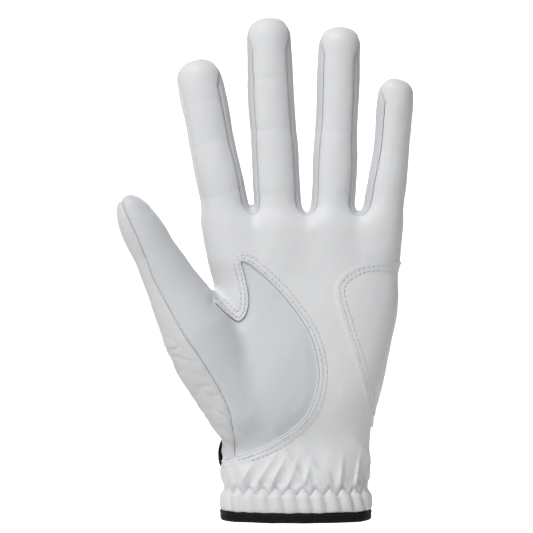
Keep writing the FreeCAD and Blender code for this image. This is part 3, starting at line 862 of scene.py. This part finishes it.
WHITE = leather_material("white_leather", (0.725, 0.732, 0.742), (0.69, 0.697, 0.707))
# the side strips' leather is painted a darker, cooler grey than the white leather: painted shade for the
# finger sides that turn away from the light
SHADED_STRIP_LEATHER = leather_material("side_leather_painted_shade", (0.62, 0.632, 0.655), (0.58, 0.592, 0.612), 0.6)
THUMB_BACK = woven_material("thumb_back_cloth", (0.70, 0.705, 0.71), (0.63, 0.635, 0.64),
                            420.0, 0.75, 0.05)
GUSSET_LEATHER = leather_material("gusset_leather", (0.64, 0.655, 0.68), (0.60, 0.615, 0.64), 0.55, 0.09)
BLACK = woven_material("black_tape", (0.006, 0.0065, 0.009), (0.002, 0.0022, 0.003),
                       330.0, 0.7, 0.10, 0.0)
KNIT = woven_material("stretch_knit", (0.66, 0.67, 0.69), (0.46, 0.47, 0.49), 260.0, 0.9, 0.15)
ELASTIC = woven_material("elastic_web", (0.66, 0.66, 0.65), (0.48, 0.48, 0.47), 300.0, 0.9, 0.15)
LOOP = woven_material("loop_pile", (0.60, 0.60, 0.60), (0.42, 0.42, 0.42), 520.0, 0.95, 0.25)
BLACK_THREAD = woven_material("black_thread", (0.03, 0.032, 0.04), (0.015, 0.016, 0.02),
                              900.0, 0.6, 0.03, 0.0)
THREAD = woven_material("thread", (0.74, 0.75, 0.77), (0.62, 0.63, 0.65), 900.0, 0.7, 0.03)


def dress(piece, material, slot, *nodes):
    piece.data.materials.append(material)
    if nodes:
        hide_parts(*nodes)


# ---- making the panels
FINGER_ROOT = 2.0 * MM       # the fingers are cut off this far below their reach
OPEN_EDGE = 2.0 * MM         # height at which the cuff's leather ends
TAPE_LIFT = 0.35 * MM
TAPE_THICK = 1.5 * MM
HEEL_WRAP = 8.0 * MM         # the heel patch runs this far behind the middle plane
BAND_GAP = 0.1 * MM
BAND_THICK = 1.0 * MM


def whole_skin():
    """The skin with its relief, and the wrist without it, for the closure to lie on."""
    points, tris = surface_net()
    points, _ = settle(points)
    points, tris = subdivide(points, tris)
    points, out = settle(points, 2)
    fields = Fields(points)
    moved = points + out * relief(points, fields)[:, None]
    if (vertex_normals(points, tris) * out).sum() < 0:
        tris = tris[:, ::-1]
    normals = vertex_normals(moved, tris)
    height = points[tris].mean(1)[:, 2]
    wrist = (height < 60 * MM) & (height > 10 * MM)
    finished = Patch(np.hstack([moved, normals, points]), tris)
    smooth_wrist = Patch(np.hstack([points, out, points]), tris[wrist])
    return finished, smooth_wrist


def bent_piece(name, patch, material, slot, nodes, digit, bodies, spot):
    """A panel of a digit: given thickness and its material, and left where it lies."""
    piece = leather_piece("skin_" + name, patch)
    dress(piece, material, slot, *nodes)
    start, end = digit.at(spot - digit.reach), digit.at(spot + digit.reach)
    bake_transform(piece)


def finger_sides(finger, part, sides):
    """Names and patches of the side strips: one on the two outer fingers, else two."""
    right, left = sides
    if finger.name == "index":
        return [(part + "_side", right)]
    if finger.name == "little":
        return [(part + "_side", left)]
    return [(part + "_side_a", left), (part + "_side_b", right)]


def finger_panels(skin):
    """Cuts each finger off the skin, and into its strips. Gives what is left of the skin."""
    left_over = []
    for i, finger in enumerate(fingers):
        mine, skin = skin.split(lambda f: f.finger[i])
        free, lower = mine.split(lambda f: f.local[i][0] + finger.reach + FINGER_ROOT)
        left_over.append(lower)
        half_way = finger.reach + (finger.middle - 2 * finger.reach) / 2
        tip, base = free.split(lambda f: f.local[i][0] - half_way)
        for part, patch, crease, bodies, spot in (
                (finger.base, base, "_knuckle_crease", ("hand", finger.base), 0.0),
                (finger.tip, tip, "_middle_crease", (finger.base, finger.tip), finger.middle)):
            joint = (finger, bodies, spot)
            front, other = patch.split(lambda f: f.strips[i][0], SEAM_GAP)
            back, sides = other.split(lambda f: f.strips[i][1], SEAM_GAP)
            nodes = (part + "_front", finger.name + crease)
            bent_piece(part + "_front", front, WHITE, "leather", nodes, *joint)
            bent_piece(part + "_back", back, WHITE, "leather", (part + "_back",), *joint)
            for name, strip in finger_sides(finger, part, sides.split(lambda f: f.local[i][1])):
                # the side strips take the leather with the painted shade
                bent_piece(name, strip, SHADED_STRIP_LEATHER, "fourchette_leather", (name,), *joint)
    return sum(left_over[1:], left_over[0]) + skin


def thumb_front(f):
    return -np.maximum(f.thumb_left, f.thumb_behind)


def thumb_panels(skin):
    """Cuts the thumb off the skin, and into its front and back. Gives the rest."""
    mine, skin = skin.split(lambda f: np.minimum(f.thumb, f.ts + thumb.reach))
    tip, base = mine.split(lambda f: f.ts - thumb.middle / 2)
    for part, patch, bodies, spot in ((thumb.base, base, ("hand", thumb.base), 0.0),
                                      (thumb.tip, tip, (thumb.base, thumb.tip), thumb.middle)):
        joint = (thumb, bodies, spot)
        front, back = patch.split(thumb_front, SEAM_GAP)
        nodes = (part + "_front", part + "_crease")
        bent_piece(part + "_front", front, GUSSET_LEATHER, "leather", nodes, *joint)
        bent_piece(part + "_back", back, THUMB_BACK, "thumb_back_synthetic", (part + "_back",), *joint)
    return skin


def sewn_piece(name, patch, material, slot, body, *nodes, **look):
    """A leather panel on a single body."""
    piece = leather_piece(name, patch, **look)
    dress(piece, material, slot, *nodes)
    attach(piece, body)


def hand_panels(skin):
    """The palm, the back and what is sewn on them."""
    skin = skin.split(lambda f: f.p[:, 2] - OPEN_EDGE)[0]
    front, back = skin.split(lambda f: f.side)
    ball, palm = front.split(lambda f: f.gusset, SEAM_GAP)
    gusset, thumb_back = ball.split(thumb_front, SEAM_GAP)
    ball_back, back = back.split(lambda f: f.ball_back, SEAM_GAP)
    sewn_piece("skin_thumb_gusset", gusset, GUSSET_LEATHER, "leather", "hand", "thumb_gusset")
    sewn_piece("skin_palm", palm, WHITE, "leather", "hand", "palm_panel", "palm_tongue", rounded=0.35)
    sewn_piece("skin_thumb_root_back", thumb_back + ball_back, THUMB_BACK, "thumb_back_synthetic", "hand",
               "thumb_root_back")
    knuckles, back = back.split(lambda f: f.panel)
    sewn_piece("knuckle_knit", knuckles, KNIT, "knit", "hand", "knuckle_stretch_panel")
    taped, back = back.split(lambda f: f.slit)
    tape = taped.split(lambda f: SLIT_EDGE - f.slit)[0].lifted(TAPE_LIFT)
    sewn_piece("slit_edge_tape", tape, BLACK, "edge_tape", "hand", "slit_tape",
               thickness=TAPE_THICK, rounded=0.3)
    sewn_piece("skin_back", back, WHITE, "leather", "hand", "back_panel")
    heel = skin.split(lambda f: np.minimum(f.heel, HEEL_WRAP - f.p[:, 1]))[0].lifted(LEATHER)
    sewn_piece("skin_heel_patch", heel, WHITE, "leather", "hand", "heel_patch", rounded=0.4)
    band = skin.split(lambda f: np.minimum(f.p[:, 2] - ELASTIC_LOW[2], ELASTIC_HIGH[2] - f.p[:, 2]))[0]
    band = band.split(lambda f: f.slit)[1].lifted(-LEATHER - BAND_GAP)
    sewn_piece("wrist_elastic_band", band, ELASTIC, "elastic", "hand", "wrist_elastic",
               thickness=BAND_THICK)


# ---- thread, tape and closure
class Batch:
    """Many small shapes gathered into one mesh."""

    def __init__(self):
        self.points = []
        self.faces = []
        self.size = 0

    def add(self, points, faces):
        self.points.append(points)
        self.faces.append(faces + self.size)
        self.size += len(points)

    def piece(self, name, material, slot, body, *nodes):
        made = make_piece(name, np.vstack(self.points), np.vstack(self.faces))
        dress(made, material, slot, *nodes)
        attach(made, body)
        return made


def unit(v):
    return v / np.maximum(np.linalg.norm(v, axis=-1, keepdims=True), 1e-12)


def sweep_faces(rings, sides):
    """Faces of a tube of rings with both ends closed."""
    k = np.arange(sides)
    n = (k + 1) % sides
    one = np.vstack([np.stack([k, n, n + sides], 1), np.stack([k, n + sides, k + sides], 1)])
    walls = [one + r * sides for r in range(rings - 1)]
    fan = np.stack([0 * k[1:-1], k[2:], k[1:-1]], 1)
    return np.vstack(walls + [fan, fan[:, ::-1] + (rings - 1) * sides])


def thread(batch, path, out, radius, sides=6):
    way = unit(np.gradient(path, axis=0))
    up = unit(out - way * (out * way).sum(1, keepdims=True))
    across = np.cross(way, up)
    angle = 2 * math.pi * np.arange(sides) / sides
    ring = np.cos(angle)[None, :, None] * across[:, None] + np.sin(angle)[None, :, None] * up[:, None]
    taper = np.full(len(path), 1.0)
    taper[[0, -1]] = 0.55
    points = path[:, None] + ring * (radius * taper)[:, None, None]
    batch.add(points.reshape(-1, 3), sweep_faces(len(path), sides))


ARCH = np.array([(0.0, -0.30), (0.16, 0.08), (0.5, 0.22), (0.84, 0.08), (1.0, -0.30)])


def stitch(batch, a, b, out, radius):
    """One stitch from a to b: it leaves the leather, arches over it and goes back in."""
    path = a + (b - a) * ARCH[:, :1] + out * ARCH[:, 1:] * MM
    thread(batch, path, np.tile(out, (len(path), 1)), radius)


def stitch_row(batch, places, out, pitch=STITCH_PITCH, share=0.76, radius=0.28 * MM):
    step = np.linalg.norm(np.diff(places, axis=0), axis=1)
    run = np.concatenate([[0], np.cumsum(step)])

    def read(s, table):
        return np.array([np.interp(s, run, table[:, k]) for k in range(3)])

    for start in np.arange(0.3 * pitch, run[-1] - pitch, pitch):
        end = start + share * pitch
        stitch(batch, read(start, places), read(end, places), unit(read(start, out)), radius)


def stitches(name, material, slot, body, rows, *look):
    """One piece of all the stitches along some rows of places and outward directions."""
    batch = Batch()
    for places, outs in rows:
        stitch_row(batch, places, outs, *look)
    batch.piece(name, material, slot, body)


class Cloth:
    """The finished skin, to lay thread and tape on."""

    def __init__(self, patch):
        self.tree = BVHTree.FromPolygons(patch.data[:, :3].tolist(), patch.tris.tolist())

    def cast(self, origins, ways, lift=0.0):
        places, outs = [], []
        for origin, way in zip(origins, ways):
            place, normal, _, _ = self.tree.ray_cast(Vector(origin), Vector(way))
            if place is None:
                continue
            normal = np.array(normal)
            if normal @ way > 0:
                normal = -normal
            places.append(np.array(place) + normal * lift)
            outs.append(normal)
        outs = np.array(outs)
        soft = outs.copy()
        soft[1:-1] = unit(outs[:-2] + outs[1:-1] + outs[2:])
        return np.array(places), soft

    def facing(self, line, side=-1.0, lift=0.0):
        """Onto the palm's side or (side = 1) the back, from points in X and Z."""
        origins = np.stack([line[:, 0], 0 * line[:, 0] + side * CLEAR, line[:, 1]], 1)
        return self.cast(origins, np.tile((0.0, -side, 0.0), (len(line), 1)), lift)

    def round_wrist(self, arc, z, way=-1.0, lift=0.0):
        ray = wrist_ray(arc, way)
        axis = np.stack([0 * z, 0 * z, z], 1)
        return self.cast(axis + ray * CLEAR, -ray, lift)


def beside(line, offset, field):
    """A line moved sideways in X and Z, to the side where field is of offset's sign."""
    way = unit(np.gradient(line, axis=0))
    side = np.stack([way[:, 1], -way[:, 0]], 1)
    middle = len(line) // 2
    probe = line[middle] + side[middle] * abs(offset)
    sign = field(np.array([[probe[0], 0, probe[1]]]))[0]
    moved = line + side * abs(offset) * (1 if sign * offset > 0 else -1)
    gap = np.abs(field(np.stack([moved[:, 0], 0 * moved[:, 0], moved[:, 1]], 1)))
    return moved[gap > abs(offset) - 0.12 * MM]


def palm_stitches(cloth):
    gusset, heel = [], []
    for offset in ROWS:
        line = beside(gusset_line, -offset, lambda p: signed_distance(p, gusset_line, gusset_closing))
        gusset.append(cloth.facing(line[line[:, 1] > gusset_line[-1][1] + 0.5 * MM]))
        line = beside(heel_line, offset, lambda p: signed_distance(p, heel_line, heel_closing))
        heel.append(cloth.facing(line[line[:, 0] < PALM_HIGH[0] - 5.5 * MM], lift=LEATHER))
    stitches("stitches_gusset", THREAD, "leather", "hand", gusset)
    stitches("stitches_heel", THREAD, "leather", "hand", heel)


def zigzag(cloth):
    """Sewing that holds the elastic: each leg of the zigzag is three stitches."""
    rows = Batch()
    slit_half = (SLIT_HIGH[0] - SLIT_LOW[0]) / 2 + 1 * MM
    reach = WRIST_HALF_ROUND - slit_half - 1 * MM
    count = int(reach / ZIG_LEG)
    arc = np.arange(-count * 3, count * 3 + 1) * ZIG_LEG / 3
    places, outs = cloth.round_wrist(arc, zigzag_height(arc))
    for a, b, out in zip(places, places[1:], outs):
        if np.linalg.norm(b - a) < 4 * MM:
            stitch(rows, a, a + (b - a) * 0.86, out, 0.26 * MM)
    rows.piece("stitches_wrist", THREAD, "elastic", "hand")


# section of the tape folded over the cuff's edge: outwards and up, in mm
BINDING = np.array([(0.0, 4.75), (0.40, 4.85), (0.72, 4.6), (0.86, 3.0), (0.88, 1.2), (0.72, 0.4),
                    (0.25, 0.02), (-0.4, 0.0), (-1.05, 0.02), (-1.52, 0.4), (-1.68, 1.2), (-1.62, 4.0),
                    (-1.3, 4.3), (-0.85, 4.1), (-0.82, 1.2), (0.0, 1.2)]) * MM


def wrist_place(arc):
    """Point and outward direction on the wrist's oval."""
    angle = np.interp(np.abs(arc), WRIST_ARC, WRIST_ANGLE) * np.sign(arc)
    s, c = np.sin(angle), np.cos(angle)
    grow = (np.abs(s) ** POWER + np.abs(c) ** POWER) ** (-1 / POWER)
    place = np.stack([WRIST_HALF * s * grow, -WRIST_DEEP * c * grow, 0 * arc], 1)
    out = np.stack([np.sign(s) * np.abs(s * grow) ** (POWER - 1) / WRIST_HALF,
                    -np.sign(c) * np.abs(c * grow) ** (POWER - 1) / WRIST_DEEP, 0 * arc], 1)
    return place, unit(out)


def cuff_binding():
    middle = (SLIT_LOW[0] + SLIT_HIGH[0]) / 2
    gap = (SLIT_HIGH[0] - SLIT_LOW[0]) / 2 - SLIT_EDGE + 0.6 * MM
    arc = np.linspace(-WRIST_HALF_ROUND + gap - middle, WRIST_HALF_ROUND - gap - middle, 260)
    place, out = wrist_place(arc)
    wave = 0.16 * MM * waves(along_x(arc), 16 * MM, 31)
    lift = np.abs(0.25 * MM * waves(along_x(arc), 30 * MM, 32))
    tall = 1 - 0.035 * waves(along_x(arc), 12 * MM, 33) ** 2
    rings = place[:, None] + out[:, None] * (BINDING[:, 0][None, :, None] + wave[:, None, None])
    rings[:, :, 2] = BINDING[:, 1][None, :] * tall[:, None] + lift[:, None]
    tape = Batch()
    tape.add(rings.reshape(-1, 3), sweep_faces(len(arc), len(BINDING))[:, ::-1])
    tape.piece("cuff_edge_tape", BLACK, "edge_tape", "hand", "cuff_binding")
    row = place + out * (0.86 * MM + wave)[:, None]
    row[:, 2] = 3.7 * MM + lift
    stitches("stitches_cuff", BLACK_THREAD, "edge_tape", "hand", [(row, out)], 2.6 * MM, 0.7, 0.17 * MM)


FASTENER = 0.9 * MM          # hook and loop patches, one on the other under the tab
UNDER_TAB = 2 * FASTENER + 0.3 * MM
TAB_TOP = UNDER_TAB + LEATHER
BLACK_SHORT = 5.0 * MM       # the black edge ends this far short of the trim's inner end
BLACK_HIDES = 1.2 * MM       # width of the tab's leather under it
BLACK_STAND = 0.4 * MM
BLACK_THICK = 1.6 * MM
PATCH_CORNER = 2.0 * MM
PATCH_THICK = 0.85 * MM
SEWN_CORNER = 1.2 * MM
SEWN_INSET = 2.2 * MM        # stitches lie this far inside the sewn end


def back_patch(plain, low, high, corner):
    """The part of the back inside a box with round corners."""
    return plain.split(lambda f: np.minimum(rounded_box(f.p[:, 0], f.p[:, 2], low, high, corner),
                                            f.p[:, 1]))[0]


def closure(plain):
    """The closure tab with its black end, its hook and loop patches, and its sewn end."""
    tab = plain.split(lambda f: f.tab)[0]
    black_end = round_wrist(np.array([[TRIM_HIGH[0], WRIST_DEEP, 0]]), 1.0)[0] - BLACK_SHORT

    def near_end(f):
        return black_end - round_wrist(f.p, 1.0)

    edge = tab.split(lambda f: np.minimum(near_end(f), TAB_TRIM - f.tab))[0]
    leather = tab.split(lambda f: -np.minimum(near_end(f), BLACK_HIDES - f.tab))[0]
    sewn_piece("tab_leather", leather.lifted(TAB_TOP), WHITE, "leather", "closure_tab_body",
              "closure_tab", rounded=0.35)
    sewn_piece("tab_black_edge", edge.lifted(TAB_TOP + BLACK_STAND), BLACK, "edge_tape",
              "closure_tab_body", "tab_trim", thickness=BLACK_THICK, rounded=0.35)
    for name, cad_node, lift, body in (("hook_fastener", "hook_patch", UNDER_TAB, "closure_tab_body"),
                                       ("loop_fastener", "loop_patch", FASTENER, "hand")):
        patch = back_patch(plain, *low_high(cad_node), PATCH_CORNER).lifted(lift)
        sewn_piece(name, patch, LOOP, "hook_and_loop", body, cad_node, thickness=PATCH_THICK)
    sewn = back_patch(plain, ANCHOR_LOW, ANCHOR_HIGH, SEWN_CORNER).lifted(TAB_TOP)
    sewn_piece("tab_sewn_end", sewn, WHITE, "leather", "hand", "tab_anchor", thickness=TAB_TOP,
              rounded=0.1)
    tab_stitches(Cloth(plain))


def tab_stitches(cloth):
    low, high = ANCHOR_LOW + SEWN_INSET, ANCHOR_HIGH - SEWN_INSET
    corners = [(low[0], low[2]), (high[0], low[2]), (high[0], high[2]), (low[0], high[2])]
    rows = [cloth.facing(np.linspace(a, b, 24), 1.0, TAB_TOP)
            for a, b in zip(corners, corners[1:] + corners[:1])]
    stitches("stitches_tab_end", THREAD, "leather", "hand", rows, 2.2 * MM)
    turn = np.linspace(math.pi / 2, 3 * math.pi / 2, 30)
    bend = END_HALF - 1.7 * MM
    row = cloth.round_wrist(TAB_START + bend * np.cos(turn), END_MIDDLE + bend * np.sin(turn),
                            1.0, TAB_TOP + 0.35 * MM)
    stitches("stitches_tab_edge", BLACK_THREAD, "edge_tape", "closure_tab_body", [row],
             2.4 * MM, 0.7, 0.18 * MM)
    way = np.linspace(TAB_START + 6.5 * MM, TAB_HINGE - 1.5 * MM, 60)
    share = (way - TAB_START) / (TAB_HINGE - TAB_START)
    middle = END_MIDDLE + (TAB_MIDDLE - END_MIDDLE) * share
    half = END_HALF + (TAB_HALF - END_HALF) * share - 1.9 * MM
    rows = [cloth.round_wrist(way, middle + side * half, 1.0, TAB_TOP) for side in (-1, 1)]
    stitches("stitches_tab", THREAD, "leather", "closure_tab_body", rows)


# ---- floor, light and camera
def studio():
    low, high = (np.array(corner) for corner in cad_box)
    middle = (low + high) / 2
    tall = high[2] - low[2]
    distance = 5.2 * tall
    floor_z = low[2] - 0.35 * tall
    front, behind, sweep, wall, side = -9.0, 0.9, 0.6, 3.0, 8.0
    turn = np.linspace(0.1, math.pi / 2, 12)
    profile = [(front, 0.0), (behind, 0.0)]
    profile += [(behind + sweep * math.sin(a), sweep - sweep * math.cos(a)) for a in turn]
    profile.append((behind + sweep, wall))
    points = [(x, y, floor_z + z) for x in (-side, side) for y, z in profile]
    n = len(profile)
    faces = [(k, k + 1, n + k + 1, n + k) for k in range(n - 1)]
    floor = make_piece("studio_floor", np.array(points), faces)
    pale = (0.93, 0.93, 0.93)
    material, tree, principled, place = shader("pale_floor", pale, 0.9)
    plug(principled, Base_Color=mottle(tree, place, pale, (0.90, 0.90, 0.90), 3.0))
    floor.data.materials.append(material)

    def area(name, place, aim, size, power):
        data = bpy.data.lights.new(name, "AREA")
        data.shape = "DISK"
        data.size = size
        data.energy = power
        light = bpy.data.objects.new(name, data)
        light.location = place
        light.rotation_euler = (Vector(aim) - Vector(place)).to_track_quat("-Z", "Y").to_euler()
        bpy.context.scene.collection.objects.link(light)

    x, y, z = middle
    area("key", (x - 0.6, y - 0.85, z + 1.3), middle, 0.45, 20.5)
    area("fill", (x + 0.3, y - 1.5, z + 0.2), middle, 1.0, 1.3)
    for name, way in (("backdrop_left", -1), ("backdrop_right", 1)):
        area(name, (x + way * 0.55, y + 0.95, z + 0.75), (x + way * 0.1, y + 1.55, z - 0.05), 0.5, 8.0)

    world = bpy.data.worlds.new("soft_studio")
    world.use_nodes = True
    plug(world.node_tree.nodes["Background"], Color=(1, 1, 1, 1), Strength=0.22)
    scene = bpy.context.scene
    scene.world = world
    scene.view_settings.view_transform = "Standard"

    camera_data = bpy.data.cameras.new("camera")
    view_height = 1.069 * tall
    camera_data.lens = camera_data.sensor_width * distance / view_height
    camera = bpy.data.objects.new("camera", camera_data)
    camera.location = (x + 0.7 * MM, y - distance, low[2] + 0.507 * tall)
    camera.rotation_euler = (math.pi / 2, 0, 0)
    scene.collection.objects.link(camera)
    scene.camera = camera


studio()
skin, plain = whole_skin()
cloth = Cloth(skin)
skin = thumb_panels(skin)
skin = finger_panels(skin)
hand_panels(skin)
palm_stitches(cloth)
zigzag(cloth)
cuff_binding()
closure(plain)
